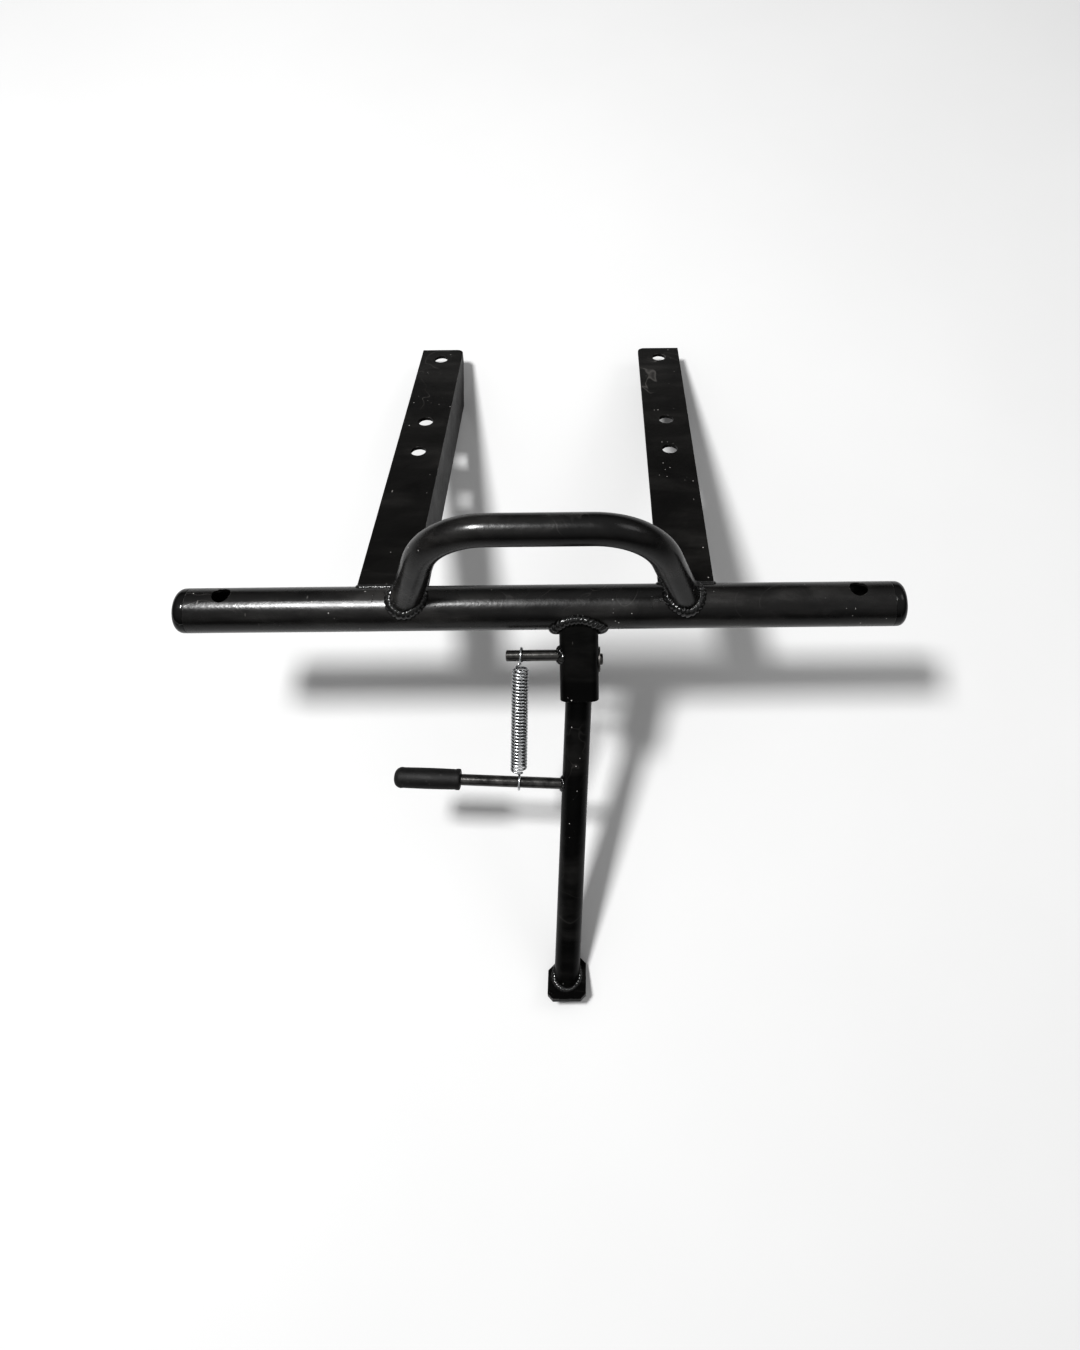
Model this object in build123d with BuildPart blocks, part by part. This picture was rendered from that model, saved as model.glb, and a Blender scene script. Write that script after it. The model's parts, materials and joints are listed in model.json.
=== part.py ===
"""Footrest crossbar with mounting arms, lift handle and an over-centre folding stand.

Millimetres. +X runs along the crossbar, +Z is up. The part stands on the floor as a tripod, on
its two arm ends and the stand's foot. The origin is on the floor, at the middle of what it covers.
"""
import os
from math import cos, radians, sin, tan

from build123d import *

# Crossbar
bar_od = 32.0
bar_wall = 2.0
bar_length = 500.0
bar_hole_d = 13.0
bar_hole_inset = 25.0

# End caps
cap_head_length = 9.5
cap_edge_radius = 6.0
cap_spigot_length = 18.0
cap_spigot_clearance = 0.1
cap_spigot_wall = 2.5

# Mounting arms, made of angle
arm_width = 40.0
arm_thickness = 3.0
arm_flange = 45.0
arm_reach = 348.0
arm_slope = 27.1
arm_spacing = 215.0
arm_shift = -3.6
arm_top = 14.0
arm_hole_d = 13.0
arm_hole_first = 18.0
arm_hole_second = 128.5
arm_hole_third = 174.0
arm_corner_radius = 6.0
arm_end_cut = 34.0

# Lift handle
handle_od = 22.0
handle_wall = 2.0
handle_foot_spacing = 205.5
handle_height = 96.0
handle_bend_radius = 51.0
handle_splay = 18.0
handle_lean = 14.4
handle_shift = 4.0

# Stand bracket, a bent channel whose closed web faces forward
bracket_wall = 3.0
bracket_ear = 27.0
bracket_tail = 27.0
bracket_bend_radius = 6.0
bracket_shift = 27.0
web_inset = 1.0
pivot_distance = 38.5
pivot_d = 8.0
pivot_bore_clearance = 0.05
pivot_proud = 2.0
stop_gap = 0.3
leg_side_gap = 0.65

# Stand leg and foot
stand_opening = 118.2
leg_od = 19.0
leg_wall = 2.0
leg_lean = 3.0
bushing_wall = 4.0
washer_thickness = 1.2
washer_od = 14.0
pin_washer_od = 18.0
washer_gap = 0.15
foot_width = 28.5
foot_front = 17.9
foot_back = 12.1
foot_thickness = 4.0
foot_corner = 4.0
foot_long_corner = 9.0

# Lever and spring
post_d = 8.0
post_length = 38.0
lever_d = 8.0
lever_distance = 95.4
lever_length = 123.3
grip_od = 15.0
grip_length = 48.4
grip_overhang = 9.0
over_centre_radius = 8.9
fold_angle = 100.0
spring_od = 12.2
spring_wire = 2.0
spring_shift = -14.6
spring_rake = 4.1
hook_gap = 0.35
spring_end_stub = 3.0

# Weld beads
weld_leg = 3.0

# Derived places
bar_r = bar_od / 2
flange_reach = arm_reach - arm_end_cut
flange_drop = arm_flange - arm_top
bar_height = flange_reach * sin(radians(arm_slope)) + flange_drop * cos(radians(arm_slope))
arm_left_x = arm_shift - arm_spacing / 2
arm_right_x = arm_shift + arm_spacing / 2
leg_angle = 180 - arm_slope - stand_opening
leg_offset = bar_r - web_inset - bracket_wall - stop_gap - leg_od / 2
leg_top_shift = bracket_tail / 2 * sin(radians(leg_lean))
bracket_inner_half = leg_od / 2 + leg_top_shift + leg_side_gap
bracket_outer_half = bracket_inner_half + bracket_wall
bushing_length = 2 * (bracket_inner_half - washer_thickness - washer_gap)
bushing_od = pivot_d + 2 * pivot_bore_clearance + 2 * bushing_wall

# The stand's reach: the foot plate's back edge touches the floor, and the bar sits mid-way
slope = radians(arm_slope)
lean = radians(leg_lean)
stand_tilt = radians(leg_angle)
foot_centre_z = foot_back * sin(slope) + foot_thickness * cos(slope)
pivot_z = bar_height - pivot_distance * sin(stand_tilt) + leg_offset * cos(stand_tilt)
leg_length = (pivot_z - foot_centre_z) / (sin(stand_tilt) * cos(lean))
leg_reach = (pivot_distance + leg_length * cos(lean)) * cos(stand_tilt) + leg_offset * sin(stand_tilt)
front_reach = leg_reach + foot_front * cos(slope) + foot_thickness * sin(slope)
back_reach = arm_reach * cos(slope) + arm_top * sin(slope)
bar_y = (front_reach - back_reach) / 2

# Directions: the arms' frame, the handle's plane and the stand's frame
arm_along = Vector(0, cos(slope), -sin(slope))
arm_up = Vector(0, sin(slope), cos(slope))
bar_middle = Vector(0, bar_y, bar_height)
leg_down = Vector(0, -cos(stand_tilt), -sin(stand_tilt))
leg_front = Vector(0, -sin(stand_tilt), cos(stand_tilt))
pivot = bar_middle + Vector(bracket_shift, 0, 0) + leg_down * pivot_distance + leg_front * leg_offset
leg_top = pivot + Vector(leg_top_shift, 0, 0)
leg_axis = leg_down * cos(lean) - Vector(1, 0, 0) * sin(lean)
lever_axis = Vector(1, 0, 0) * cos(lean) + leg_down * sin(lean)
mid_fold = radians(fold_angle / 2)
post_centre = pivot - leg_down * over_centre_radius * cos(mid_fold) + leg_front * over_centre_radius * sin(mid_fold)

# Planes
bar_plane = Plane(origin=bar_middle, x_dir=(0, 1, 0), z_dir=(1, 0, 0))
bracket_plane = Plane(origin=bar_middle + Vector(bracket_shift, 0, 0), x_dir=(1, 0, 0), z_dir=tuple(leg_down))
leg_plane = Plane(origin=leg_top, x_dir=tuple(lever_axis), z_dir=tuple(leg_axis))
pivot_plane = Plane(origin=pivot, x_dir=tuple(leg_down), z_dir=(1, 0, 0))
lever_plane = Plane(origin=leg_top + leg_axis * lever_distance, x_dir=tuple(leg_axis), z_dir=tuple(-lever_axis))
handle_tilt = radians(arm_slope - handle_lean)
handle_up = Vector(0, sin(handle_tilt), cos(handle_tilt))
handle_plane = Plane(
    origin=bar_middle + Vector(handle_shift, 0, 0),
    x_dir=(1, 0, 0),
    z_dir=(0, -cos(handle_tilt), sin(handle_tilt)),
)

os.makedirs("parts", exist_ok=True)


def save(part, name):
    part.label = name
    export_step(part, f"parts/{name}.step")


def rod(plane, radius, start, length):
    """A plain cylinder along the plane's normal, from start over length."""
    return extrude(plane.offset(start) * Circle(radius), length)


# The crossbar's outer cylinder as a solid, and the same grown by a weld's leg
bar_solid = rod(bar_plane, bar_r, -bar_length / 2, bar_length)
bar_weld_zone = rod(bar_plane, bar_r + weld_leg, -bar_length / 2, bar_length)


with BuildPart() as main_tube:
    with BuildSketch(bar_plane.offset(-bar_length / 2)):
        Circle(bar_r)
        Circle(bar_r - bar_wall, mode=Mode.SUBTRACT)
    extrude(amount=bar_length)
    for side in (-1, 1):
        hole_middle = bar_middle + Vector(side * (bar_length / 2 - bar_hole_inset), 0, 0)
        with BuildSketch(Plane(origin=hole_middle, x_dir=(1, 0, 0), z_dir=tuple(arm_up))):
            Circle(bar_hole_d / 2)
        extrude(amount=bar_od, both=True, mode=Mode.SUBTRACT)
save(main_tube.part, "main_tube")

for side, name in ((-1, "end_cap_left"), (1, "end_cap_right")):
    cap_plane = Plane(
        origin=bar_middle + Vector(side * bar_length / 2, 0, 0), x_dir=(0, side, 0), z_dir=(side, 0, 0)
    )
    with BuildPart() as end_cap:
        with BuildSketch(cap_plane):
            Circle(bar_r)
        extrude(amount=cap_head_length)
        fillet(end_cap.faces().sort_by(Axis.X)[-1 if side > 0 else 0].edges(), cap_edge_radius)
        with BuildSketch(cap_plane):
            Circle(bar_r - bar_wall - cap_spigot_clearance)
            Circle(bar_r - bar_wall - cap_spigot_clearance - cap_spigot_wall, mode=Mode.SUBTRACT)
        extrude(amount=-cap_spigot_length)
    save(end_cap.part, name)


def angle_blank(x_middle, grow):
    """An arm's angle section over its whole length, from the bar's axis, grown by a weld's leg."""
    end_plane = Plane(origin=bar_middle + Vector(x_middle, 0, 0), x_dir=(1, 0, 0), z_dir=tuple(-arm_along))
    half = arm_width / 2
    plate = Pos(0, arm_top - arm_thickness / 2) * Rectangle(arm_width + 2 * grow, arm_thickness + 2 * grow)
    flange_centre = Pos(half - arm_thickness / 2, arm_top - arm_flange / 2)
    flange = flange_centre * Rectangle(arm_thickness + 2 * grow, arm_flange + 2 * grow)
    return extrude(end_plane * (plate + flange), -arm_reach)


def handle_foot(side, grow):
    """The handle's straight foot run on one side as a solid rod, grown by a weld's leg."""
    centre = handle_plane.origin + Vector(side * handle_foot_spacing / 2, 0, 0)
    splay = radians(handle_splay)
    axis = handle_up * cos(splay) - Vector(side, 0, 0) * sin(splay)
    plane = Plane(origin=centre, x_dir=(0, 1, 0), z_dir=tuple(axis))
    return rod(plane, handle_od / 2 + grow, 0, 2 * bar_od)


# What the slanted cut takes off an arm's flange, in along-arm and downward steps from the plate's top
end_outline = [
    (arm_reach, arm_thickness),
    (arm_reach + arm_end_cut, arm_thickness),
    (arm_reach + arm_end_cut, 2 * arm_flange),
    (arm_reach - arm_end_cut * (2 * arm_flange - arm_thickness) / (arm_flange - arm_thickness), 2 * arm_flange),
]

# What is cut off the flange's front, so that it meets the crossbar at its lowest line
front_outline = [
    (-bar_r, arm_top + bar_r),
    (0, arm_top + bar_r),
    (bar_r, arm_flange + weld_leg),
    (-bar_r, arm_flange + weld_leg),
]

for x_middle, round_side, name in (
    (arm_left_x, 1, "arm_left"),
    (arm_right_x, -1, "arm_right"),
):
    arm_origin = bar_middle + Vector(x_middle, 0, 0) + arm_up * arm_top
    arm_plane = Plane(origin=arm_origin, x_dir=(1, 0, 0), z_dir=tuple(arm_up))
    blank = angle_blank(x_middle, 0)
    weld_blank = angle_blank(x_middle, weld_leg)
    foot_zone = handle_foot(-round_side, weld_leg)
    end_side = Plane(origin=arm_origin, x_dir=tuple(arm_along), z_dir=(-1, 0, 0))
    end_cut = extrude(end_side * Polygon(*end_outline, align=None), arm_width, both=True)
    front_cut = extrude(end_side * Polygon(*front_outline, align=None), arm_width, both=True)
    with BuildPart() as arm:
        add(blank)
        with BuildSketch(arm_plane):
            for from_end in (arm_hole_first, arm_hole_second, arm_hole_third):
                with Locations((0, arm_reach - from_end)):
                    Circle(arm_hole_d / 2)
        extrude(amount=-2 * arm_thickness, mode=Mode.SUBTRACT)
        with BuildSketch(arm_plane):
            with Locations((round_side * (arm_width - arm_corner_radius) / 2, arm_reach - arm_corner_radius / 2)):
                Rectangle(arm_corner_radius, arm_corner_radius)
            with Locations((round_side * (arm_width / 2 - arm_corner_radius), arm_reach - arm_corner_radius)):
                Circle(arm_corner_radius, mode=Mode.SUBTRACT)
        extrude(amount=-arm_flange, mode=Mode.SUBTRACT)
        add(bar_solid, mode=Mode.SUBTRACT)
        add(end_cut, mode=Mode.SUBTRACT)
        add(front_cut, mode=Mode.SUBTRACT)
    save(arm.part, name)

    with BuildPart() as arm_weld:
        add(weld_blank)
        add(bar_weld_zone, mode=Mode.INTERSECT)
        add(bar_solid, mode=Mode.SUBTRACT)
        add(blank, mode=Mode.SUBTRACT)
        add(foot_zone, mode=Mode.SUBTRACT)
        add(front_cut, mode=Mode.SUBTRACT)
    save(arm_weld.part, name.replace("arm", "arm_weld"))

# Lift handle: one bent tube, its feet coped to the crossbar and clear of the arms
handle_run = handle_height * tan(radians(handle_splay))
handle_points = [
    (-handle_foot_spacing / 2, 0),
    (handle_run - handle_foot_spacing / 2, handle_height),
    (handle_foot_spacing / 2 - handle_run, handle_height),
    (handle_foot_spacing / 2, 0),
]
arm_blanks = [angle_blank(x_middle, 0) for x_middle in (arm_left_x, arm_right_x)]
with BuildPart() as lift_handle:
    with BuildLine(handle_plane) as handle_path:
        FilletPolyline(*handle_points, radius=handle_bend_radius)
    handle_start = Plane(origin=handle_path.line @ 0, z_dir=handle_path.line % 0)
    with BuildSketch(handle_start):
        Circle(handle_od / 2)
        Circle(handle_od / 2 - handle_wall, mode=Mode.SUBTRACT)
    sweep()
    add(bar_solid, mode=Mode.SUBTRACT)
    add(arm_blanks, mode=Mode.SUBTRACT)
save(lift_handle.part, "lift_handle")

for side, name in ((-1, "handle_weld_left"), (1, "handle_weld_right")):
    foot_zone = handle_foot(side, weld_leg)
    foot_rod = handle_foot(side, 0)
    arm_blank = angle_blank(arm_left_x if side < 0 else arm_right_x, 0)
    with BuildPart() as handle_weld:
        add(foot_zone)
        add(bar_weld_zone, mode=Mode.INTERSECT)
        add(bar_solid, mode=Mode.SUBTRACT)
        add(foot_rod, mode=Mode.SUBTRACT)
        add(arm_blank, mode=Mode.SUBTRACT)
    save(handle_weld.part.solids().sort_by(SortBy.VOLUME)[-1], name)

# Stand bracket: a channel along the stand, its web just inside the crossbar's front
bracket_length = pivot_distance + bracket_tail
web_front = bar_r - web_inset


def channel_blank(grow):
    """The channel's filled outline, grown by a weld's leg, along the stand."""
    width = 2 * (bracket_outer_half + grow)
    depth = bracket_ear + 2 * grow
    outline = Pos(0, web_front + grow - depth / 2) * Rectangle(width, depth)
    front_corners = outline.vertices().group_by(Axis.Y)[-1]
    rounded = fillet(front_corners, bracket_bend_radius + grow)
    return extrude(bracket_plane * rounded, bracket_length)


channel_solid = channel_blank(0)
channel_weld_zone = channel_blank(weld_leg)

with BuildPart() as stand_bracket:
    add(channel_solid)
    with BuildSketch(bracket_plane):
        with Locations((0, web_front - bracket_wall - bracket_ear / 2)):
            Rectangle(2 * bracket_inner_half, bracket_ear)
        fillet(vertices().group_by(Axis.Y)[-1], bracket_bend_radius - bracket_wall)
    extrude(amount=bracket_length, mode=Mode.SUBTRACT)
    with BuildSketch(pivot_plane):
        Circle(pivot_d / 2)
    extrude(amount=2 * bracket_outer_half, both=True, mode=Mode.SUBTRACT)
    add(bar_solid, mode=Mode.SUBTRACT)
save(stand_bracket.part, "stand_bracket")

with BuildPart() as bracket_weld:
    add(channel_weld_zone)
    add(bar_weld_zone, mode=Mode.INTERSECT)
    add(bar_solid, mode=Mode.SUBTRACT)
    add(channel_solid, mode=Mode.SUBTRACT)
save(bracket_weld.part, "bracket_weld")

# Pivot pin, peened over a washer at its right end, with its left end flush in the bracket
pin_length = 2 * bracket_outer_half + washer_thickness + pivot_proud
with BuildPart() as pivot_pin:
    with BuildSketch(pivot_plane.offset(-bracket_outer_half)):
        Circle(pivot_d / 2)
    extrude(amount=pin_length)
    fillet(pivot_pin.faces().sort_by(Axis.X)[-1].edges(), pivot_proud / 2)
save(pivot_pin.part, "pivot_pin")

with BuildPart() as pin_washer:
    with BuildSketch(pivot_plane.offset(bracket_outer_half)):
        Circle(pin_washer_od / 2)
        Circle(pivot_d / 2, mode=Mode.SUBTRACT)
    extrude(amount=washer_thickness)
save(pin_washer.part, "pin_washer")

for side, name in ((-1, "thrust_washer_left"), (1, "thrust_washer_right")):
    washer_start = bracket_inner_half - washer_thickness if side > 0 else -bracket_inner_half
    with BuildPart() as thrust_washer:
        with BuildSketch(pivot_plane.offset(washer_start)):
            Circle(washer_od / 2)
            Circle(pivot_d / 2 + pivot_bore_clearance, mode=Mode.SUBTRACT)
        extrude(amount=washer_thickness)
    save(thrust_washer.part, name)

# Leg: pivot bushing across the top of a tube, cut level on the foot plate
bushing_slot = rod(pivot_plane, bushing_od / 2, -bracket_inner_half, 2 * bracket_inner_half)
with BuildPart() as pivot_bushing:
    with BuildSketch(pivot_plane.offset(-bushing_length / 2)):
        Circle(bushing_od / 2)
        Circle(pivot_d / 2 + pivot_bore_clearance, mode=Mode.SUBTRACT)
    extrude(amount=bushing_length)
save(pivot_bushing.part, "pivot_bushing")

# Foot plate, parallel to the arms, its back edge on the floor in the parked position
foot_centre = leg_top + leg_axis * leg_length
foot_plane = Plane(origin=foot_centre, x_dir=(1, 0, 0), z_dir=tuple(arm_up))
foot_half = foot_width / 2
foot_outline = [
    (-foot_half, foot_corner - foot_front),
    (foot_corner - foot_half, -foot_front),
    (foot_half - foot_corner, -foot_front),
    (foot_half, foot_corner - foot_front),
    (foot_half, foot_back - foot_corner),
    (foot_half - foot_corner, foot_back),
    (foot_long_corner - foot_half, foot_back),
    (-foot_half, foot_back - foot_long_corner),
]
with BuildPart() as foot_plate:
    with BuildSketch(foot_plane):
        Polygon(*foot_outline, align=None)
    extrude(amount=-foot_thickness)
save(foot_plate.part, "foot_plate")

leg_run = leg_length + leg_od
below_foot = extrude(foot_plane * Rectangle(4 * leg_od, 4 * leg_od), -2 * leg_od)
leg_core = rod(leg_plane, leg_od / 2, 0, leg_run)
with BuildPart() as leg_tube:
    with BuildSketch(leg_plane):
        Circle(leg_od / 2)
        Circle(leg_od / 2 - leg_wall, mode=Mode.SUBTRACT)
    extrude(amount=leg_run)
    add(bushing_slot, mode=Mode.SUBTRACT)
    add(below_foot, mode=Mode.SUBTRACT)
save(leg_tube.part, "leg_tube")

leg_weld_zone = rod(leg_plane, leg_od / 2 + weld_leg, 0, leg_run)
foot_weld_zone = extrude(foot_plane * Polygon(*foot_outline, align=None), weld_leg)
with BuildPart() as foot_weld:
    add(leg_weld_zone)
    add(foot_weld_zone, mode=Mode.INTERSECT)
    add(leg_core, mode=Mode.SUBTRACT)
save(foot_weld.part, "foot_weld")

# Spring post on the bracket's left side
post_plane = Plane(origin=(bracket_shift, post_centre.Y, post_centre.Z), x_dir=(0, 1, 0), z_dir=(-1, 0, 0))
post_end = bracket_outer_half + post_length
with BuildPart() as spring_post:
    with BuildSketch(post_plane):
        Circle(post_d / 2)
    extrude(amount=post_end)
    chamfer(spring_post.faces().sort_by(Axis.X)[0].edges(), post_d / 16)
    add(channel_solid, mode=Mode.SUBTRACT)
save(spring_post.part, "spring_post")

with BuildPart() as spring_post_weld:
    with BuildSketch(post_plane.offset(bracket_outer_half - bracket_bend_radius)):
        Circle(post_d / 2 + weld_leg)
        Circle(post_d / 2, mode=Mode.SUBTRACT)
    extrude(amount=bracket_bend_radius + weld_leg)
    add(channel_weld_zone, mode=Mode.INTERSECT)
    add(channel_solid, mode=Mode.SUBTRACT)
save(spring_post_weld.part, "spring_post_weld")

# Foot lever on the leg, with its rubber grip
with BuildPart() as lever_rod:
    with BuildSketch(lever_plane):
        Circle(lever_d / 2)
    extrude(amount=lever_length)
    add(leg_core, mode=Mode.SUBTRACT)
save(lever_rod.part, "lever_rod")

with BuildPart() as lever_weld:
    with BuildSketch(lever_plane):
        Circle(lever_d / 2 + weld_leg)
        Circle(lever_d / 2, mode=Mode.SUBTRACT)
    extrude(amount=leg_od / 2 + weld_leg)
    add(leg_core, mode=Mode.SUBTRACT)
save(lever_weld.part, "lever_weld")

grip_end = lever_length + grip_overhang
with BuildPart() as lever_grip:
    with BuildSketch(lever_plane.offset(grip_end - grip_length)):
        Circle(grip_od / 2)
    extrude(amount=grip_length)
    fillet(lever_grip.faces().sort_by(Axis.X)[0].edges(), grip_od * 0.4)
    fillet(lever_grip.faces().sort_by(Axis.X)[-1].edges(), grip_od / 15)
    with BuildSketch(lever_plane.offset(grip_end - grip_length)):
        Circle(lever_d / 2)
    extrude(amount=grip_length - grip_overhang, mode=Mode.SUBTRACT)
save(lever_grip.part, "lever_grip")

# Return spring: close coils between two hooks, from the post to the lever
post_point = Vector(spring_shift, post_centre.Y, post_centre.Z)
lever_base = leg_top + leg_axis * lever_distance
lever_steps = (spring_shift - spring_rake - lever_base.X) / lever_axis.X
lever_point = lever_base + lever_axis * lever_steps
spring_span = (lever_point - post_point).length
spring_dir = (lever_point - post_point).normalized()
hook_mid_r = post_d / 2 + hook_gap + spring_wire / 2
coil_start = hook_mid_r + spring_wire / 2 + spring_end_stub
coil_length = spring_span - 2 * coil_start
spring_frame = Plane(origin=post_point, x_dir=(1, 0, 0), z_dir=tuple(spring_dir))
with BuildPart() as return_spring:
    with BuildSketch(spring_frame.offset(coil_start)):
        Circle(spring_od / 2)
        Circle(spring_od / 2 - spring_wire, mode=Mode.SUBTRACT)
    extrude(amount=coil_length)
    for end_disc in (coil_start, coil_start + coil_length - spring_wire):
        with BuildSketch(spring_frame.offset(end_disc)):
            Circle(spring_od / 2)
        extrude(amount=spring_wire)
    for neck in (hook_mid_r, coil_start + coil_length):
        with BuildSketch(spring_frame.offset(neck)):
            Circle(spring_wire / 2)
        extrude(amount=coil_start - hook_mid_r)
    for eye in (post_point, lever_point):
        with Locations(Plane(origin=eye, x_dir=(0, 1, 0), z_dir=(1, 0, 0))):
            Torus(hook_mid_r, spring_wire / 2)
save(return_spring.part, "return_spring")
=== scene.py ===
import json
import math
import random

import bmesh
import bpy
import numpy as np
from mathutils import Matrix, Vector, noise


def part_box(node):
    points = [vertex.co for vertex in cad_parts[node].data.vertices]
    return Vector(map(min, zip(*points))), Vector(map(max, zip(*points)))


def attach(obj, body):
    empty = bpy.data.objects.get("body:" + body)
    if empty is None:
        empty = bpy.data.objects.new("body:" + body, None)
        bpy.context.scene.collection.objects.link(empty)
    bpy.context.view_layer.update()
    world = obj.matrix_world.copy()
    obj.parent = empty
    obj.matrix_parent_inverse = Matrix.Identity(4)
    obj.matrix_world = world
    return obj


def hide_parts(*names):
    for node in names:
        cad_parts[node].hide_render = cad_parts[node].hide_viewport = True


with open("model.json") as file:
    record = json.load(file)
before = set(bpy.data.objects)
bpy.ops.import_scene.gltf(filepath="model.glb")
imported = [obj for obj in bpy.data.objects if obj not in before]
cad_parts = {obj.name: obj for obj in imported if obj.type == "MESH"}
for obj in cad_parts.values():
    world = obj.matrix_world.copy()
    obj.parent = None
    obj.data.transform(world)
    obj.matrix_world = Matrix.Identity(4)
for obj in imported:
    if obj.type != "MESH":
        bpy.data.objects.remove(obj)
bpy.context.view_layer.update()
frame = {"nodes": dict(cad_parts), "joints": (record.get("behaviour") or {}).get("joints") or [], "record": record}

random.seed(7)
scene = bpy.context.scene
MM = 0.001
X = Vector((1, 0, 0))

# ------------------------------------------------------------------ facts of the part, from the frame
joints = {j["name"]: j for j in frame["joints"]}
slots = {s["node"]: s["material_slot"] for s in frame["record"]["subparts"]}
mounts = {m["name"]: m for m in frame["record"]["mounts"]}
pivot = Vector(joints["stand_fold"]["pos_m"])
post = Vector(joints["spring_swing"]["pos_m"])
arm_up = Vector(mounts["bar_hole_left"]["axis"]).normalized()


def points_of(node):
    """All vertices of a CAD node as rows."""
    return np.array([v.co for v in frame["nodes"][node].data.vertices], float)


def long_axis(node):
    """Unit vector along a rod-like CAD node, pointing to +X, and its two end points on the axis."""
    co = points_of(node)
    mid = co.mean(0)
    w, v = np.linalg.eigh(np.cov((co - mid).T))
    d = v[:, -1] * (1 if v[0, -1] > 0 else -1)
    t = (co - mid) @ d
    side = v[:, :2]
    q = (co - mid) @ side
    centre = mid + side @ ((q.max(0) + q.min(0)) / 2)
    return Vector(d), Vector(centre + d * t.min()), Vector(centre + d * t.max())


bar_lo, bar_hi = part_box("main_tube")
bar_mid = (bar_lo + bar_hi) / 2
bar_r = (bar_hi.z - bar_lo.z) / 2


# ------------------------------------------------------------------ mesh helpers
def keep(name, bm, smooth=True):
    """The finished bmesh as a named object in the scene."""
    mesh = bpy.data.meshes.new(name)
    bmesh.ops.recalc_face_normals(bm, faces=bm.faces)
    bm.to_mesh(mesh)
    bm.free()
    if smooth:
        for p in mesh.polygons:
            p.use_smooth = True
    obj = bpy.data.objects.new(name, mesh)
    scene.collection.objects.link(obj)
    return obj


def frame_for(d):
    """Two unit vectors square to d and to each other."""
    a = d.normalized()
    ref = Vector((0, 0, 1)) if abs(a.z) < 0.9 else X
    u = ref.cross(a).normalized()
    return u, a.cross(u)


def tube(name, path, radius, sides=12):
    """A round wire swept along the points, with parallel frames and domed ends."""
    bm = bmesh.new()
    n = len(path)
    tangents = [(path[min(i + 1, n - 1)] - path[max(i - 1, 0)]).normalized() for i in range(n)]
    u = frame_for(tangents[0])[0]
    rings = []
    stations = [(0, -0.8, 0.55)] + [(i, 0, 1) for i in range(n)] + [(n - 1, 0.8, 0.55)]
    for i, ahead, grow in stations:
        t = tangents[i]
        u = (u - t * u.dot(t)).normalized()
        v = t.cross(u)
        c = path[i] + t * radius * ahead
        ring = []
        for k in range(sides):
            a = 2 * math.pi * k / sides
            ring.append(bm.verts.new(c + (u * math.cos(a) + v * math.sin(a)) * radius * grow))
        rings.append(ring)
    for a, b in zip(rings, rings[1:]):
        for k in range(sides):
            bm.faces.new((a[k], a[(k + 1) % sides], b[(k + 1) % sides], b[k]))
    bm.faces.new(rings[0])
    bm.faces.new(rings[-1])
    return keep(name, bm)


def lathe(name, origin, axis, profile, sides=96, wobble=None):
    """A closed turned shape: profile rows are (distance along the axis, radius), from pole to pole."""
    u, v = frame_for(axis)
    bm = bmesh.new()
    rings = []
    for t, r in profile:
        if r < 1e-6:
            rings.append([bm.verts.new(origin + axis * t)])
            continue
        ring = []
        for k in range(sides):
            a = 2 * math.pi * k / sides
            rr = r + (wobble(t, a) if wobble else 0)
            ring.append(bm.verts.new(origin + axis * t + (u * math.cos(a) + v * math.sin(a)) * rr))
        rings.append(ring)
    for a, b in zip(rings, rings[1:]):
        if len(a) == 1:
            for k in range(sides):
                bm.faces.new((a[0], b[(k + 1) % sides], b[k]))
        elif len(b) == 1:
            for k in range(sides):
                bm.faces.new((a[k], a[(k + 1) % sides], b[0]))
        else:
            for k in range(sides):
                bm.faces.new((a[k], a[(k + 1) % sides], b[(k + 1) % sides], b[k]))
    return keep(name, bm)


def arc(c0, c1, r, a0, a1, n):
    """Points in n steps round the centre (c0, c1), from angle a0 to a1 in degrees."""
    angles = [math.radians(a0 + (a1 - a0) * i / n) for i in range(n + 1)]
    return [(c0 + r * math.cos(a), c1 + r * math.sin(a)) for a in angles]


# ------------------------------------------------------------------ materials
RUBBED_FILM = (0.05, 0.048, 0.046)
SCRATCH_GREY = (0.11, 0.105, 0.1)
PRIMER_GREY = (0.3, 0.29, 0.28)
GRIME = (0.06, 0.055, 0.05)
DUST = (0.12, 0.115, 0.11)
# Painted shade: the near-black colour laid into hollows by the ambient occlusion mask
PAINTED_SHADE_BLACK = (0.006, 0.006, 0.006)
PLASTIC_RUB = (0.05, 0.05, 0.05)


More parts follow.
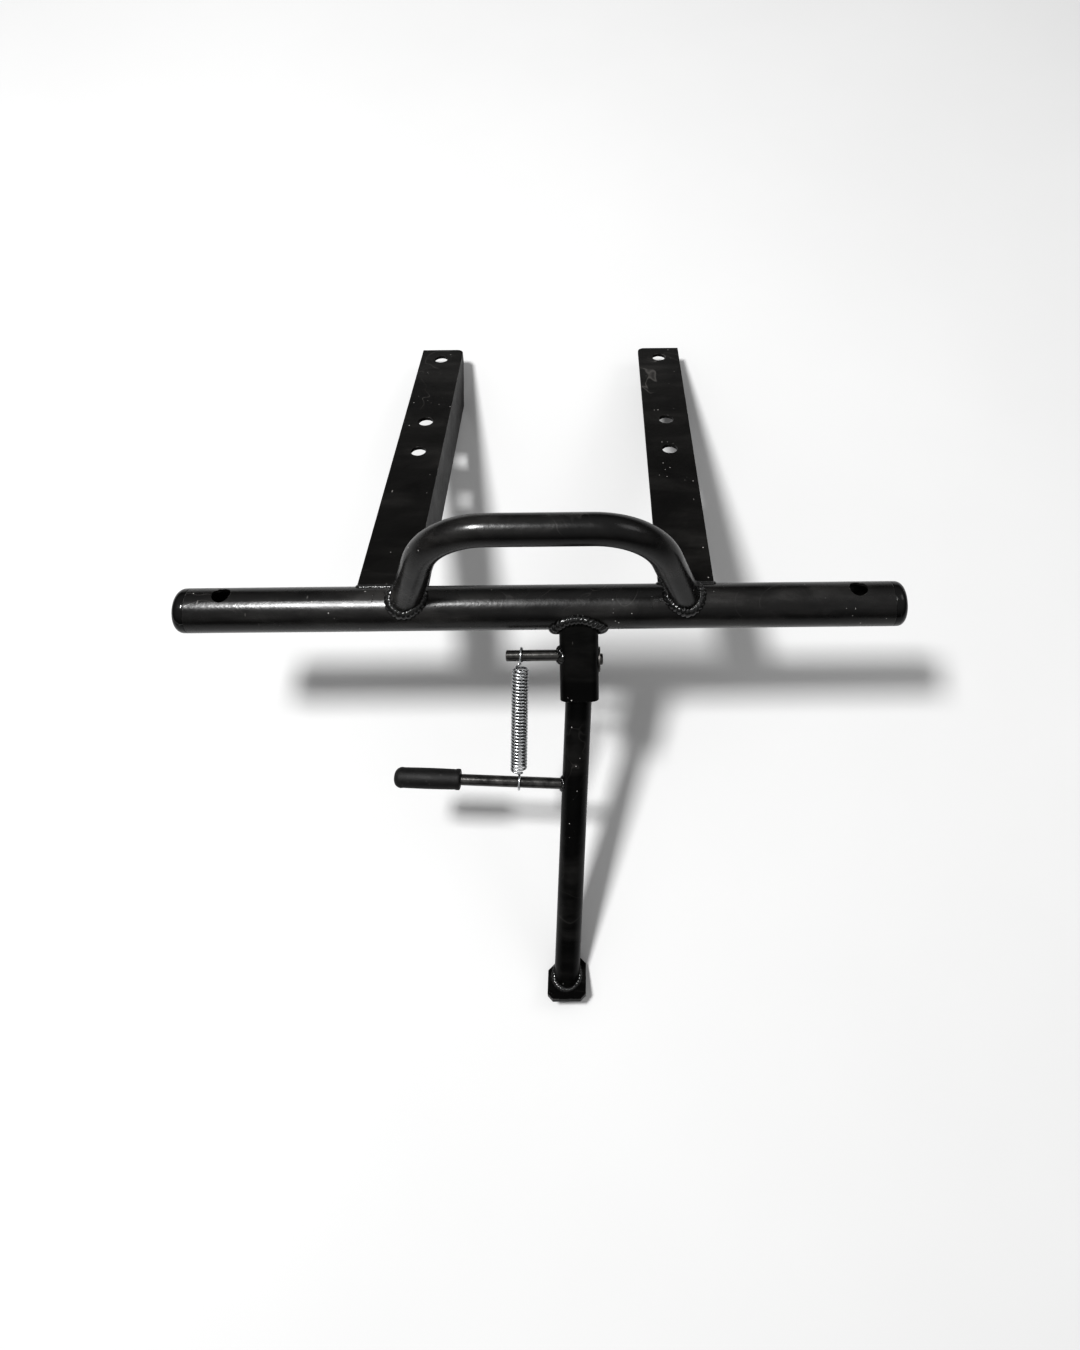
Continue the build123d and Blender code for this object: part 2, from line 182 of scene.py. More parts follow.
class Nodes:
    """A material under construction: a Principled surface and short calls for the nodes that feed it."""

    def __init__(self, name):
        self.mat = bpy.data.materials.new(name)
        self.mat.use_nodes = True
        self.tree = self.mat.node_tree
        self.tree.nodes.clear()
        self.out = self.add("ShaderNodeOutputMaterial")
        self.bsdf = self.add("ShaderNodeBsdfPrincipled")
        self.link(self.bsdf.outputs[0], self.out.inputs[0])
        self.place = self.add("ShaderNodeTexCoord").outputs["Object"]

    def add(self, kind, **values):
        node = self.tree.nodes.new(kind)
        for key, value in values.items():
            setattr(node, key, value)
        return node

    def link(self, a, b):
        self.tree.links.new(a, b)

    def set(self, **values):
        for key, value in values.items():
            self.bsdf.inputs[key.replace("_", " ")].default_value = value

    def scaled(self, factors):
        m = self.add("ShaderNodeMapping")
        m.inputs["Scale"].default_value = factors
        self.link(self.place, m.inputs["Vector"])
        return m.outputs[0]

    def noise(self, scale, detail=4, rough=0.55, distort=0.0, vector=None):
        n = self.add("ShaderNodeTexNoise")
        n.inputs["Scale"].default_value = scale
        n.inputs["Detail"].default_value = detail
        n.inputs["Roughness"].default_value = rough
        n.inputs["Distortion"].default_value = distort
        self.link(vector or self.place, n.inputs["Vector"])
        return n.outputs[0]

    def cells(self, scale, feature="F1", vector=None):
        n = self.add("ShaderNodeTexVoronoi", feature=feature)
        n.inputs["Scale"].default_value = scale
        self.link(vector or self.place, n.inputs["Vector"])
        return n.outputs["Distance"]

    def band(self, value, a, b, low=0.0, high=1.0):
        """value mapped from a..b to low..high, clamped."""
        n = self.add("ShaderNodeMapRange", clamp=True)
        for key, v in (("From Min", a), ("From Max", b), ("To Min", low), ("To Max", high)):
            n.inputs[key].default_value = v
        self.link(value, n.inputs["Value"])
        return n.outputs[0]

    def math(self, op, a, b=None, c=None):
        n = self.add("ShaderNodeMath", operation=op)
        for i, v in enumerate((a, b, c)):
            if v is None:
                continue
            if isinstance(v, (int, float)):
                n.inputs[i].default_value = v
            else:
                self.link(v, n.inputs[i])
        return n.outputs[0]

    def mix(self, factor, a, b):
        n = self.add("ShaderNodeMix", data_type="RGBA")
        self.link(factor, n.inputs[0])
        for i, v in ((6, a), (7, b)):
            if isinstance(v, tuple):
                n.inputs[i].default_value = (*v, 1)
            else:
                self.link(v, n.inputs[i])
        return n.outputs[2]

    def edges(self, radius):
        """1 on sharp edges, 0 on open faces."""
        soft = self.add("ShaderNodeBevel", samples=6)
        soft.inputs["Radius"].default_value = radius
        face = self.add("ShaderNodeNewGeometry")
        dot = self.add("ShaderNodeVectorMath", operation="DOT_PRODUCT")
        self.link(soft.outputs[0], dot.inputs[0])
        self.link(face.outputs["Normal"], dot.inputs[1])
        return self.band(dot.outputs["Value"], 0.995, 0.9), soft.outputs[0]

    def bump(self, height, strength, distance, under=None):
        n = self.add("ShaderNodeBump")
        n.inputs["Strength"].default_value = strength
        n.inputs["Distance"].default_value = distance
        self.link(height, n.inputs["Height"])
        if under is not None:
            self.link(under, n.inputs["Normal"])
        return n.outputs[0]


def paint(
    name, dark, pale, rough, shine, chips=0.9, scratches=0.5, peel=0.25, edge_mm=0.5, dust=0.5
):
    """Sprayed black paint over steel: blotches, rubbed film, smudge outlines, nicks and worn edges."""
    n = Nodes(name)
    blotch = n.band(n.noise(16, 6, 0.62, 0.6), 0.35, 0.7)
    streak = n.band(n.noise(10, 5, 0.6, 0.3, n.scaled((1, 5, 5))), 0.45, 0.75)
    colour = n.mix(blotch, dark, pale)
    film = n.math("MULTIPLY", n.math("MULTIPLY", streak, blotch), dust)
    colour = n.mix(film, colour, RUBBED_FILM)
    # smudge outlines, and short rubs that run with the metal
    here = n.band(n.noise(13, 3, 0.6), 0.52, 0.62)
    line = n.band(n.math("ABSOLUTE", n.math("SUBTRACT", n.noise(21, 2, 0.4, 0.8), 0.5)), 0.006, 0.0)
    rub = n.band(n.cells(110, "F1", n.scaled((1.0, 0.34, 0.4))), 0.075, 0.035)
    rub = n.math("MULTIPLY", rub, n.band(n.noise(26, 4, 0.65), 0.5, 0.54))
    outline = n.math("MULTIPLY", n.math("MULTIPLY", line, here), 0.35)
    marks = n.math("MULTIPLY", n.math("MAXIMUM", outline, rub), scratches)
    colour = n.mix(marks, colour, SCRATCH_GREY)
    # nicks down to grey primer and steel
    nick = n.band(n.cells(200), 0.115, 0.07)
    where = n.band(n.noise(34, 4, 0.7), 0.55, 0.59)
    chip = n.math("MULTIPLY", n.math("MULTIPLY", nick, where), chips)
    edge, soft = n.edges(edge_mm * MM)
    rubbed = n.math("MULTIPLY", edge, n.band(n.noise(150, 5, 0.7), 0.5, 0.68))
    chip = n.math("MAXIMUM", chip, n.math("MULTIPLY", rubbed, 0.6 * chips))
    colour = n.mix(chip, colour, PRIMER_GREY)
    n.link(colour, n.bsdf.inputs["Base Color"])
    r = n.band(n.noise(35, 6, 0.65), 0.3, 0.75, rough - 0.06, rough + 0.1)
    r = n.math("ADD", r, n.math("MULTIPLY", film, 0.2))
    r = n.math("ADD", r, n.math("MULTIPLY", marks, 0.2))
    n.link(r, n.bsdf.inputs["Roughness"])
    height = n.math("ADD", n.noise(420, 3, 0.5), n.math("MULTIPLY", n.noise(90, 4, 0.6), 1.6))
    height = n.math("SUBTRACT", height, n.math("MULTIPLY", n.math("ADD", chip, marks), 1.2))
    n.link(n.bump(height, peel, 0.25 * MM, soft), n.bsdf.inputs["Normal"])
    n.set(Metallic=0.0, Specular_IOR_Level=shine)
    return n.mat


def plastic(name):
    """Glossy black moulding with a few short rubs."""
    n = Nodes(name)
    cloud = n.band(n.noise(70, 5, 0.6), 0.35, 0.7)
    rub = n.band(n.cells(90, "DISTANCE_TO_EDGE", n.scaled((1, 0.3, 1))), 0.02, 0.0)
    rub = n.math("MULTIPLY", rub, n.band(n.noise(60, 3), 0.52, 0.6))
    colour = n.mix(cloud, (0.0008, 0.0008, 0.0008), (0.003, 0.0029, 0.0028))
    n.link(n.mix(rub, colour, PLASTIC_RUB), n.bsdf.inputs["Base Color"])
    r = n.math("ADD", n.band(cloud, 0, 1, 0.13, 0.22), n.math("MULTIPLY", rub, 0.3))
    n.link(r, n.bsdf.inputs["Roughness"])
    n.link(n.bump(n.noise(240, 4), 0.12, 0.15 * MM), n.bsdf.inputs["Normal"])
    n.set(Specular_IOR_Level=0.2)
    return n.mat


def rubber(name):
    """Matt black rubber with a fine grain and specks of dust."""
    n = Nodes(name)
    cloud = n.band(n.noise(55, 6, 0.65, 0.4), 0.3, 0.72)
    colour = n.mix(cloud, (0.001, 0.001, 0.001), (0.0042, 0.004, 0.0038))
    dusty = n.band(n.noise(300, 3, 0.7), 0.6, 0.75, 0, 0.15)
    n.link(n.mix(dusty, colour, DUST), n.bsdf.inputs["Base Color"])
    n.link(n.band(cloud, 0, 1, 0.48, 0.68), n.bsdf.inputs["Roughness"])
    grain = n.math("ADD", n.cells(900), n.noise(500, 3))
    n.link(n.bump(grain, 0.28, 0.2 * MM), n.bsdf.inputs["Normal"])
    n.set(Specular_IOR_Level=0.2)
    return n.mat


def bright_metal(
    name, dark, pale, low, high, stretch=(1, 1, 1), grime=0.3, metallic=1.0, bump=0.12, painted_shade_reach=0
):
    """Plated or bare steel with stains, drawing marks and grime, with painted shade: colour darkened in hollows up
    to that many mm.
    """
    n = Nodes(name)
    stain = n.band(n.noise(160, 6, 0.65), 0.32, 0.7)
    colour = n.mix(stain, dark, pale)
    dirt = n.band(n.noise(420, 5, 0.7), 0.55, 0.7, 0, grime)
    colour = n.mix(dirt, colour, GRIME)
    if painted_shade_reach:
        # Painted shade: the ambient occlusion mask darkens the colour towards near black in hollows and crevices
        shade = n.add("ShaderNodeAmbientOcclusion", samples=8)
        shade.inputs["Distance"].default_value = painted_shade_reach * MM
        colour = n.mix(n.band(shade.outputs["AO"], 0.42, 0.66), PAINTED_SHADE_BLACK, colour)
    n.link(colour, n.bsdf.inputs["Base Color"])
    n.link(n.band(n.noise(300, 5, 0.6), 0.3, 0.7, low, high), n.bsdf.inputs["Roughness"])
    lines = n.noise(700, 4, 0.6, 0.0, n.scaled(stretch))
    n.link(n.bump(lines, bump, 0.1 * MM), n.bsdf.inputs["Normal"])
    n.set(Metallic=metallic)
    return n.mat


materials = {
    "black_paint": paint(
        "black_paint", (0.0012, 0.0011, 0.0011), (0.0042, 0.0039, 0.0037), rough=0.24, shine=0.27
    ),
    "arm_paint": paint(
        "arm_paint", (0.0013, 0.0012, 0.0011), (0.0034, 0.0032, 0.0029), rough=0.4, shine=0.1,
        chips=1.0, scratches=1.0, dust=0.3,
    ),
    "weld_paint": paint(
        "weld_paint", (0.0008, 0.0008, 0.0008), (0.003, 0.003, 0.0029), rough=0.17, shine=0.45,
        chips=0.7, scratches=0.0, peel=0.5, edge_mm=0.2, dust=0.1,
    ),
    "stand_paint": paint(
        "stand_paint", (0.0003, 0.0003, 0.0003), (0.0014, 0.0014, 0.0013), rough=0.3, shine=0.08,
        chips=1.0, scratches=0.25, dust=0.25,
    ),
    "cap_plastic": plastic("cap_plastic"),
    "grip_rubber": rubber("grip_rubber"),
    "lever_steel": bright_metal(
        "lever_steel", (0.025, 0.0245, 0.024), (0.085, 0.083, 0.08), 0.15, 0.27,
        stretch=(1, 9, 9), metallic=0.9,
    ),
    # The spring's colour has painted shade inside and between its coils
    "spring_zinc": bright_metal(
        "spring_zinc", (0.36, 0.37, 0.375), (0.52, 0.53, 0.54), 0.2, 0.32,
        grime=0.1, bump=0.03, painted_shade_reach=12,
    ),
    "plain_steel": bright_metal(
        "plain_steel", (0.3, 0.29, 0.28), (0.5, 0.49, 0.48), 0.28, 0.5, stretch=(8, 1, 1), grime=0.6
    ),
    "pin_steel": bright_metal(
        "pin_steel", (0.03, 0.029, 0.028), (0.12, 0.115, 0.11), 0.3, 0.5,
        stretch=(8, 1, 1), grime=0.5, metallic=0.9,
    ),
}

for name, obj in frame["nodes"].items():
    key = "arm_paint" if name in ("arm_left", "arm_right") else slots[name]
    obj.data.materials.clear()
    obj.data.materials.append(materials[key])


def finish_piece(obj, body, node, slot):
    """Give the piece its material, and let it ride on its body in place of a CAD node."""
    obj.data.materials.clear()
    obj.data.materials.append(materials[slot])
    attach(obj, body)
    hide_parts(node)


# ------------------------------------------------------------------ return spring
def make_spring():
    """An extension spring: an eye on the post, a neck, the coil, a neck and an eye on the lever."""
    lo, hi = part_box("return_spring")
    wire, mean_r = 0.82 * MM, 5.28 * MM
    turns, per_turn = 31, 24
    eye_steps, eye_from, eye_sweep, eye_twist = 44, 338, 330, 0.9 * MM
    neck_steps, neck_turn, neck_gap = 15, 2.4, 0.4 * MM
    eye_r = hi.z - post.z - wire
    out = eye_r + wire
    yz = Vector((0, lo.y + out - post.y, lo.z + out - post.z))
    start = out + 3.0 * MM
    lean_x = (lo.x + mean_r + wire - post.x) / (1 - start / yz.length)
    lever = post + yz + X * lean_x
    d = (lever - post).normalized()
    span = (lever - post).length
    n = d.cross(X).normalized()
    side = n.cross(d).normalized()

    def at(s, r, a):
        """The point s along the spring's axis from the post, at radius r and angle a."""
        return post + d * s + (n * math.cos(a) + side * math.sin(a)) * r

    def eye(centre, toward, flip):
        """From the loose tip of an eye round to its neck on the axis."""
        pts = []
        for i in range(eye_steps):
            w = i / (eye_steps - 1)
            a = math.radians(eye_from - eye_sweep * w)
            ring = toward * eye_r * math.cos(a) + n * flip * eye_r * math.sin(a)
            pts.append(centre + ring + X * eye_twist * (1 - w))
        return pts

    def neck(s_from, s_to, turn):
        """From the axis out to the coil's radius."""
        pts = []
        for i in range(1, neck_steps):
            w = i / neck_steps
            e = w * w * (3 - 2 * w)
            pts.append(at(s_from + (s_to - s_from) * e, mean_r * e, turn * (1 - w)))
        return pts

    s0, s1 = start + wire, span - start - wire
    coil = []
    total = turns * per_turn
    for i in range(total + 1):
        w = i / total
        coil.append(at(s0 + (s1 - s0) * w, mean_r, 2 * math.pi * turns * w))
    path = eye(post, d, 1) + neck(eye_r + neck_gap, s0, -neck_turn) + coil
    tail = neck(span - eye_r - neck_gap, s1, neck_turn)
    path += tail[::-1] + eye(lever, -d, -1)[::-1]
    bends = [i for i, p in enumerate(path) if (p - post).dot(d) < s0 or (p - post).dot(d) > s1]
    for _ in range(3):
        path_new = list(path)
        for i in bends:
            if 4 < i < len(path) - 5:
                path_new[i] = (path[i - 1] + path[i] * 2 + path[i + 1]) / 4
        path = path_new
    finish_piece(tube("spring_coils", path, wire, 12), "spring", "return_spring", "spring_zinc")


make_spring()


# ------------------------------------------------------------------ end caps and grip
def make_cap(name, side):
    """A moulded plug: its spigot in the tube, a rounded head and a small gate mark in the middle."""
    lo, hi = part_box(name)
    r = (hi.z - lo.z) / 2
    seam = bar_hi.x if side > 0 else bar_lo.x
    head = (hi.x - seam) if side > 0 else (seam - lo.x)
    axis = X * side
    edge = 6.0 * MM
    top = head - 0.25 * MM
    spigot, spigot_r, skin = -9 * MM, r - 2.3 * MM, 0.02 * MM
    profile = [(spigot, 0), (spigot, 11 * MM), (spigot, spigot_r), (0, spigot_r)]
    profile += [(0.0, r - 0.5 * MM), (0.12 * MM, r - 0.15 * MM)]
    profile += [(0.5 * MM, r - skin), (1.6 * MM, r - skin)]
    profile += [(t, q) for q, t in arc(r - edge, top - edge, edge - skin, 2, 84, 14)]
    profile += [(top + 0.05 * MM, r - edge - 0.6 * MM), (top + 0.12 * MM, 7 * MM)]
    profile += [(top + 0.22 * MM, 2.2 * MM), (top + 0.1 * MM, 1.5 * MM), (top - 0.15 * MM, 1.1 * MM)]
    profile += [(top - 0.2 * MM, 0)]
    obj = lathe(name + "_moulded", Vector((seam, bar_mid.y, bar_mid.z)), axis, profile)
    finish_piece(obj, "frame", name, "cap_plastic")


make_cap("end_cap_left", -1)
make_cap("end_cap_right", 1)


def make_grip():
    """A pushed-on rubber sleeve: a domed end, a slightly swollen body and a rolled rim."""
    d, left, right = long_axis("lever_grip")
    length = (right - left).length
    r = 7.45 * MM
    dome = 5.6 * MM
    rim, rings = 4 * MM, 24
    profile = [(0.02 * MM, 0)]
    profile += [(dome - t, q) for q, t in arc(r - dome, 0, dome - 0.02 * MM, 86, 4, 14)]
    for i in range(1, rings):
        t = dome + (length - dome - rim) * i / rings
        swell = 0.22 * MM * math.sin(math.pi * i / rings)
        profile.append((t, r - 0.28 * MM + swell))
    profile += [(length - 3.9 * MM, r - 0.3 * MM), (length - 3.3 * MM, r - 0.05 * MM)]
    profile += [(length - 2.6 * MM, r + 0.03 * MM), (length - 1.0 * MM, r + 0.02 * MM)]
    profile += [(length - 0.35 * MM, r - 0.25 * MM), (length - 0.06 * MM, r - 0.9 * MM)]
    profile += [(length - 0.05 * MM, 4.3 * MM), (length - 0.9 * MM, 4.05 * MM), (length - 0.9 * MM, 0)]

    def flash(t, a):
        """The mould's parting line, along both sides of the body."""
        seam = abs(math.sin(a))
        return 0.035 * MM * max(0, 1 - seam / 0.05) if dome < t < length - rim else 0

    obj = lathe("grip_moulded", left, d, profile, 120, flash)
    finish_piece(obj, "stand", "lever_grip", "grip_rubber")


make_grip()


# ------------------------------------------------------------------ weld beads
# The arms' slope and the directions of the stand as it is parked
stand_tilt, leg_lean, arm_slope = math.radians(34.7), math.radians(3.0), math.radians(27.1)
leg_setback, lever_distance, leg_r, rod_weld_r = 13.5 * MM, 95.4 * MM, 9.5 * MM, 4.4 * MM
leg_down = Vector((0, -math.cos(stand_tilt), -math.sin(stand_tilt)))
leg_front = Vector((0, -math.sin(stand_tilt), math.cos(stand_tilt)))
leg_axis = leg_down * math.cos(leg_lean) - X * math.sin(leg_lean)
lever_axis = X * math.cos(leg_lean) + leg_down * math.sin(leg_lean)
leg_top = pivot + X * leg_setback * math.sin(leg_lean)
arm_along = Vector((0, math.cos(arm_slope), -math.sin(arm_slope)))
plate_top = 14 * MM
bracket_x = pivot.x
bracket_half = (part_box("stand_bracket")[1].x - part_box("stand_bracket")[0].x) / 2


def off_bar(p):
    """Direction away from the crossbar's axis, and the distance."""
    v = Vector((0, p.y - bar_mid.y, p.z - bar_mid.z))
    return v.normalized(), v.length


arm_spans = [(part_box(name)[0].x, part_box(name)[1].x) for name in ("arm_left", "arm_right")]


def in_bar_or_arm(p):
    """True inside the crossbar, or behind it under an arm's top face."""
    v = p - bar_mid
    for low, high in arm_spans:
        if low < p.x < high and v.dot(arm_along) > 0 and v.dot(arm_up) < plate_top:
            return True
    return off_bar(p)[1] < bar_r


def off_leg(p):
    """Direction away from the leg's axis, and the distance."""
    v = p - leg_top
    v = v - leg_axis * v.dot(leg_axis)
    return v.normalized(), v.length


def in_leg(p):
    """True inside the leg's tube."""
    return off_leg(p)[1] < leg_r


def ring_path(origin, axis, radius, inside, normal, reach, steps=200):
    """Where a round bar meets another surface: points with the bead's outward direction."""
    u, v = frame_for(axis)
    path = []
    for k in range(steps):
        a = 2 * math.pi * k / steps
        radial = u * math.cos(a) + v * math.sin(a)
        near, far = 0.0, reach
        for _ in range(22):
            mid = (near + far) / 2
            if inside(origin + radial * radius + axis * mid):
                near = mid
            else:
                far = mid
        p = origin + radial * radius + axis * far
        path.append((p, (radial + normal(p)).normalized()))
    return path


def dense(points, step=0.5):
    """The corner points joined by a rounded line, sampled evenly."""
    line = [p for p, o in points]
    outs = [o for p, o in points]
    for _ in range(3):
        new_line, new_outs = [line[0]], [outs[0]]
        for a, b, c, d in zip(line, line[1:], outs, outs[1:]):
            new_line += [a * 0.75 + b * 0.25, a * 0.25 + b * 0.75]
            new_outs += [c * 0.75 + d * 0.25, c * 0.25 + d * 0.75]
        line, outs = new_line + [line[-1]], new_outs + [outs[-1]]
    path, carry = [(line[0], outs[0].normalized())], 0.0
    for a, b, c, d in zip(line, line[1:], outs, outs[1:]):
        run = (b - a).length
        while carry + step * MM <= run:
            carry += step * MM
            w = carry / run
            path.append((a.lerp(b, w), c.lerp(d, w).normalized()))
        carry -= run
    return path


def make_bead(node, path, radius, body="frame", closed=True, pitch=1.9, seed=0, ripple=0.2, rise=0.1):
    """A run weld along the path: overlapping crescents, each lapping the one before.

    The path's rows are a point and the outward direction there. The pitch of the crescents is in mm,
    and ripple and rise are shares of the bead's radius.
    """
    n, sides = len(path), 16
    flat, wide = 0.82, 1.1
    pts = [p for p, o in path]
    lengths = [0.0]
    for a, b in zip(pts, pts[1:]):
        lengths.append(lengths[-1] + (b - a).length)
    total = lengths[-1] + ((pts[0] - pts[-1]).length if closed else 0)
    count = max(4, round(total / (pitch * MM)))
    shift = Vector((seed * 3.1, seed * 1.7, seed * 0.9))
    bm = bmesh.new()
    rings = []
    for i in range(n):
        back, ahead = ((i - 1) % n, (i + 1) % n) if closed else (max(i - 1, 0), min(i + 1, n - 1))
        t = (pts[ahead] - pts[back]).normalized()
        o = path[i][1]
        o = (o - t * o.dot(t)).normalized()
        side = t.cross(o)
        ease = 1.0
        if not closed:
            ease = max(0.25, min(1, min(i, n - 1 - i) * 0.5 * MM / radius)) ** 0.5
        swell = 1 + 0.16 * noise.noise(pts[i] * 190 + shift)
        stray = 0.22 * noise.noise(pts[i] * 130 + shift * 2)
        centre = pts[i] + o * radius * rise + side * radius * stray
        ring = []
        for k in range(sides):
            a = 2 * math.pi * k / sides
            phase = lengths[i] / total * count + 0.42 * math.cos(a)
            phase += 0.22 * noise.noise(pts[i] * 420 + shift)
            w = phase - math.floor(phase)
            crest = math.sin(math.pi * w**0.6)
            r = radius * ease * swell * (1 + ripple * (crest - 0.62))
            d = o * math.cos(a) * flat + side * math.sin(a) * wide
            q = centre + d * r
            ring.append(bm.verts.new(q + d * radius * 0.08 * noise.noise(q * 900)))
        rings.append(ring)
    pairs = list(zip(rings, rings[1:])) + ([(rings[-1], rings[0])] if closed else [])
    for a, b in pairs:
        for k in range(sides):
            bm.faces.new((a[k], a[(k + 1) % sides], b[(k + 1) % sides], b[k]))
    if not closed:
        for ring in (rings[0], rings[-1]):
            bm.faces.new(ring)
    finish_piece(keep(node + "_bead", bm), body, node, "weld_paint")


def make_handle_beads():
    """A ring of weld round each foot of the lift handle."""
    splay, tilt = math.radians(18.0), math.radians(12.7)
    shift, half_spacing, foot_r = 4.0, 102.75, 11.5 * MM
    upright = Vector((0, math.sin(tilt), math.cos(tilt)))
    for side, node, seed in ((-1, "handle_weld_left", 1), (1, "handle_weld_right", 2)):
        foot = bar_mid + X * (shift + side * half_spacing) * MM
        axis = upright * math.cos(splay) - X * side * math.sin(splay)
        path = ring_path(foot, axis, foot_r, in_bar_or_arm, lambda p: off_bar(p)[0], 30 * MM, 210)
        make_bead(node, path, 3.1 * MM, pitch=3.0, seed=seed, ripple=0.34, rise=0.16)


def make_arm_beads():
    """From below the crossbar up each arm's outer side, over its top and down the inner side."""
    for name, seed in (("left", 3), ("right", 4)):
        lo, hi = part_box("arm_" + name)
        points = []
        for drop in (-15.4, -12.0, -8.0, -3.0, 3.0, 8.0, 11.5):
            t = math.sqrt((bar_r / MM) ** 2 - drop**2)
            p = bar_mid + arm_along * (t + 0.3) * MM + arm_up * drop * MM
            points.append((Vector((hi.x + 0.3 * MM, p.y, p.z)), (X + off_bar(p)[0]).normalized()))
        t = math.sqrt((bar_r / MM) ** 2 - 14.0**2)
        p = bar_mid + arm_along * (t + 0.1) * MM + arm_up * 14.2 * MM
        for x in (hi.x + 0.2 * MM, hi.x - 6 * MM, (lo.x + hi.x) / 2, lo.x + 6 * MM, lo.x - 0.2 * MM):
            points.append((Vector((x, p.y, p.z)), arm_up))
        p = bar_mid + arm_along * (t + 4) * MM + arm_up * 10 * MM
        points.append((Vector((lo.x - 0.3 * MM, p.y, p.z)), -X))
        make_bead("arm_weld_" + name, dense(points), 1.45 * MM, closed=False, pitch=1.5, seed=seed)


def make_bracket_bead():
    """Up one side of the bracket, over its top and down the other side.

    The turns' rows are the offset in mm from the bracket's middle and the angle round the crossbar.
    """
    points = []
    half = bracket_half / MM + 0.5
    turns = [(-half, -47), (-half, -20), (-half, 5), (-half - 3.0, 26)]
    turns += [(-half - 2.4, 42), (-half + 1.6, 58), (-half * 0.4, 69.5)]
    turns += [(0, 72.5)] + [(-x, a) for x, a in turns[::-1]]
    for x, a in turns:
        out = leg_down * math.cos(math.radians(a)) + leg_front * math.sin(math.radians(a))
        p = bar_mid + out * (bar_r + 0.3 * MM)
        p.x = bracket_x + x * MM
        outward = out + leg_down * 0.5 + X * (0.5 if x > 4 else -0.5 if x < -4 else 0)
        points.append((p, outward.normalized()))
    make_bead("bracket_weld", dense(points), 3.5 * MM, closed=False, pitch=3.3, seed=5, ripple=0.32)


def make_stand_beads():
    """Rings of weld round the leg's foot, the lever and the spring's post."""
    sole = max(Vector(p).dot(arm_up) for p in points_of("foot_plate"))
    reach = (sole - leg_top.dot(arm_up)) / leg_axis.dot(arm_up)
    start = leg_top + leg_axis * (reach + 12 * MM)
    foot_r = leg_r + 0.5 * MM
    path = ring_path(start, -leg_axis, foot_r, lambda p: p.dot(arm_up) < sole, lambda p: arm_up, 40 * MM)
    make_bead("foot_weld", path, 2.1 * MM, "stand", pitch=2.2, seed=6, ripple=0.34)
    start = leg_top + leg_axis * lever_distance
    path = ring_path(start, -lever_axis, rod_weld_r, in_leg, lambda p: off_leg(p)[0], 20 * MM, 120)
    make_bead("lever_weld", path, 1.5 * MM, "stand", pitch=1.5, seed=7)

    def in_bracket(p):
        """True inside the bracket's left side, which rounds into the web at the front."""
        past_bend = (p - pivot).dot(leg_front) / MM - bend_start
        cut = bend_r - math.sqrt(max(0.0, bend_r**2 - past_bend**2)) if past_bend > 0 else 0.0
        return p.x > bracket_x - bracket_half + min(cut, bend_r) * MM

    bend_r, bend_start = 6.0, 6.8
    start = Vector((bracket_x, post.y, post.z))
    path = ring_path(start, -X, rod_weld_r, in_bracket, lambda p: -X, 30 * MM, 120)
    make_bead("spring_post_weld", path, 2.2 * MM, pitch=2.4, seed=8, ripple=0.4)


make_handle_beads()
make_arm_beads()
make_bracket_bead()
make_stand_beads()


# ------------------------------------------------------------------ weld spatter on the crossbar
def make_spatter():
    """Small beads of weld spatter beside the handle's and the bracket's welds, sunk into the paint."""
    bm = bmesh.new()
    spots = []
    for node, n, reach in (
        ("handle_weld_left", 16, 16),
        ("handle_weld_right", 16, 16),
        ("bracket_weld", 18, 18),
    ):
        lo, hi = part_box(node)
        mid = (lo + hi) / 2
        base = math.atan2(mid.z - bar_mid.z, mid.y - bar_mid.y)
        for _ in range(n):
            x = mid.x + random.choice((-1, 1)) * (hi.x - mid.x + random.uniform(0.3, reach) * MM)
            spots.append((x, base + random.uniform(-0.7, 0.7), random.uniform(0.22, 0.62) * MM))
    for x, a, r in spots:
        out = Vector((0, math.cos(a), math.sin(a)))
        centre = Vector((x, bar_mid.y, bar_mid.z)) + out * (bar_r - r * 0.25)
        blob = bmesh.ops.create_icosphere(bm, subdivisions=2, radius=r)
        for v in blob["verts"]:
            v.co *= 1 + 0.35 * noise.noise(v.co * 2400 + Vector((x * 900, a, 0)))
            v.co += centre
    spatter = keep("weld_spatter", bm)
    spatter.data.materials.append(materials["weld_paint"])
    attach(spatter, "frame")


make_spatter()


# ------------------------------------------------------------------ floor
def make_floor():
    """A wide pale floor, a hair under the part."""
    bm = bmesh.new()
    half, steps, drop = 24.0, 40, -0.4 * MM
    places = [-half + 2 * half * i / steps for i in range(steps + 1)]
    rows = [[bm.verts.new((x, y, drop)) for x in places] for y in places]
    for a, b in zip(rows, rows[1:]):
        for j in range(steps):
            bm.faces.new((a[j], a[j + 1], b[j + 1], b[j]))
    floor = keep("studio_floor", bm, False)
    n = Nodes("studio_floor")
    n.link(n.mix(n.noise(3, 4), (0.41, 0.41, 0.41), (0.44, 0.44, 0.44)), n.bsdf.inputs["Base Color"])
    n.set(Roughness=0.85, Specular_IOR_Level=0.1)
    floor.data.materials.append(n.mat)


make_floor()


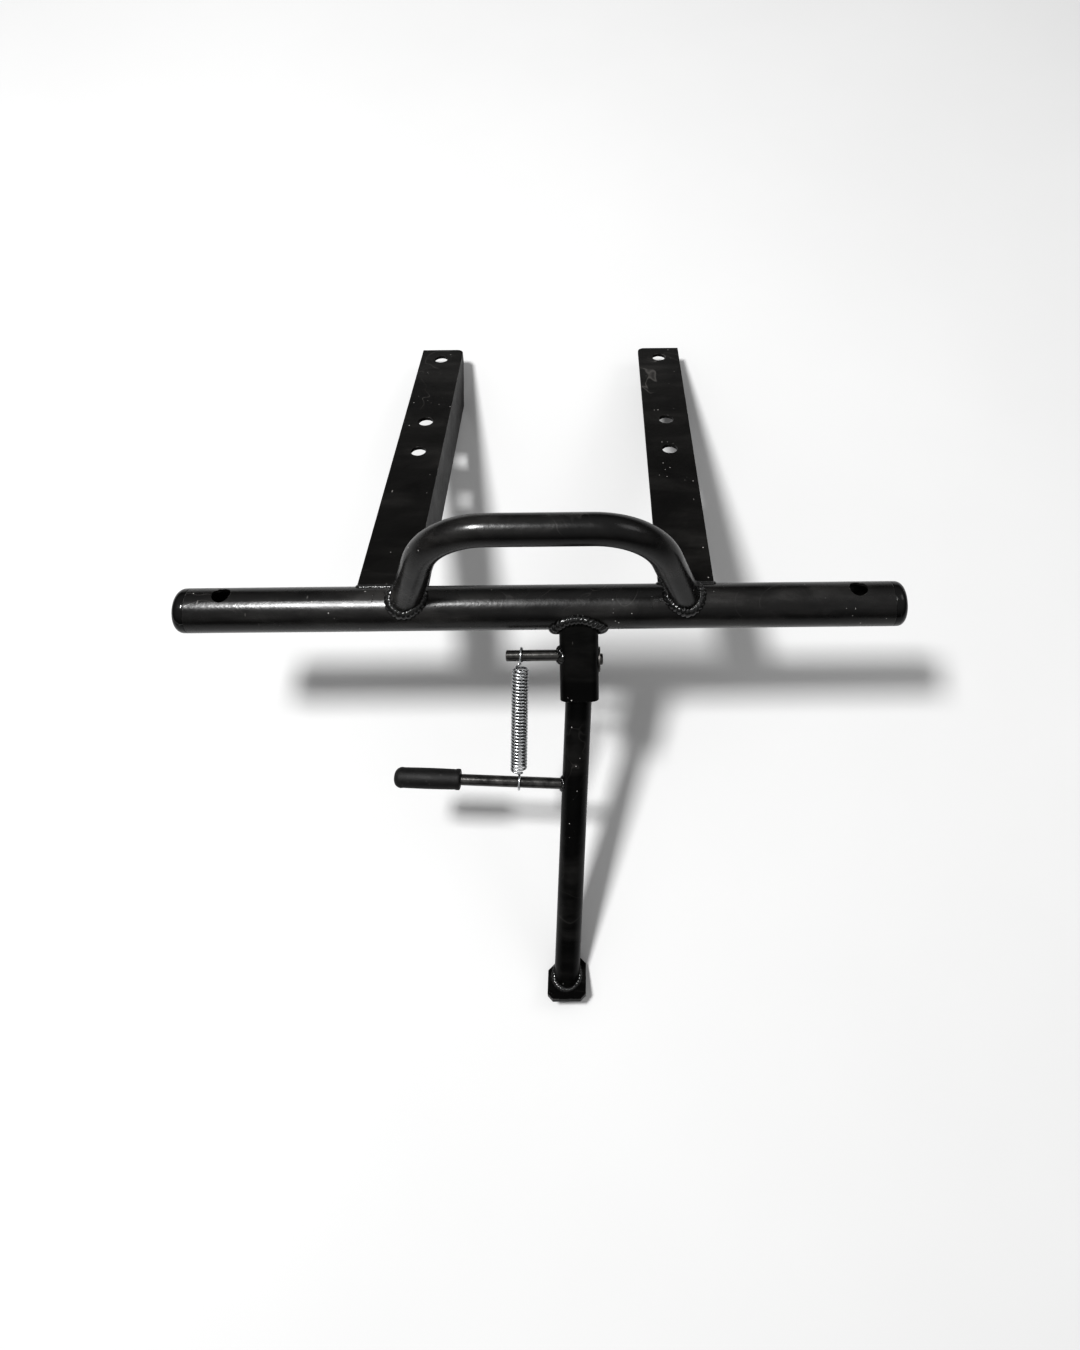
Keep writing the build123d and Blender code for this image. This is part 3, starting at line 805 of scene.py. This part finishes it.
# ------------------------------------------------------------------ light
def area(name, place, target, size, power):
    """A square area light at place, aimed at target."""
    light = bpy.data.lights.new(name, "AREA")
    light.shape = "SQUARE"
    light.size = size
    light.energy = power
    obj = bpy.data.objects.new(name, light)
    obj.location = place
    obj.rotation_mode = "QUATERNION"
    obj.rotation_quaternion = (Vector(target) - Vector(place)).to_track_quat("-Z", "Y")
    scene.collection.objects.link(obj)


area("key", (-0.72, 0.10, 2.3), (-0.05, 0, 0.1), 0.36, 84)
area("fill", (1.6, 0.5, 1.9), (0, 0, 0.1), 0.9, 7)

# A soft white ceiling that fades towards the horizon
world = bpy.data.worlds.new("studio")
scene.world = world
world.use_nodes = True
sky = world.node_tree.nodes["Background"]
sky.inputs["Color"].default_value = (1, 1, 1, 1)
way = world.node_tree.nodes.new("ShaderNodeTexCoord")
split = world.node_tree.nodes.new("ShaderNodeSeparateXYZ")
level = world.node_tree.nodes.new("ShaderNodeMapRange")
for key, value in (("From Min", 0.1), ("From Max", 0.75), ("To Min", 0.05), ("To Max", 0.7)):
    level.inputs[key].default_value = value
world.node_tree.links.new(way.outputs["Generated"], split.inputs[0])
world.node_tree.links.new(split.outputs["Z"], level.inputs["Value"])
world.node_tree.links.new(level.outputs[0], sky.inputs["Strength"])
scene.view_settings.view_transform = "Standard"
scene.view_settings.look = "Medium High Contrast"

# ------------------------------------------------------------------ camera
camera_place = Vector((0.0394, -0.2391, 0.8181))
pitch, roll, yaw = math.radians(63.617), math.radians(-0.328), math.radians(-0.276)
turn = Matrix.Rotation(yaw, 3, "Z")
look = turn @ Vector((0, math.cos(pitch), -math.sin(pitch)))
up = turn @ Vector((0, math.sin(pitch), math.cos(pitch)))
right = turn @ X
right, up = right * math.cos(roll) + up * math.sin(roll), up * math.cos(roll) - right * math.sin(roll)
camera = bpy.data.cameras.new("camera")
camera.sensor_width = 36
camera.lens = 25.061
camera.shift_x = -0.0419
camera.shift_y = -0.1552
camera.clip_start, camera.clip_end = 0.01, 50
eye = bpy.data.objects.new("camera", camera)
axes = Matrix((right, up, -look)).transposed()
eye.matrix_world = Matrix.Translation(camera_place) @ axes.to_4x4()
scene.collection.objects.link(eye)
scene.camera = eye
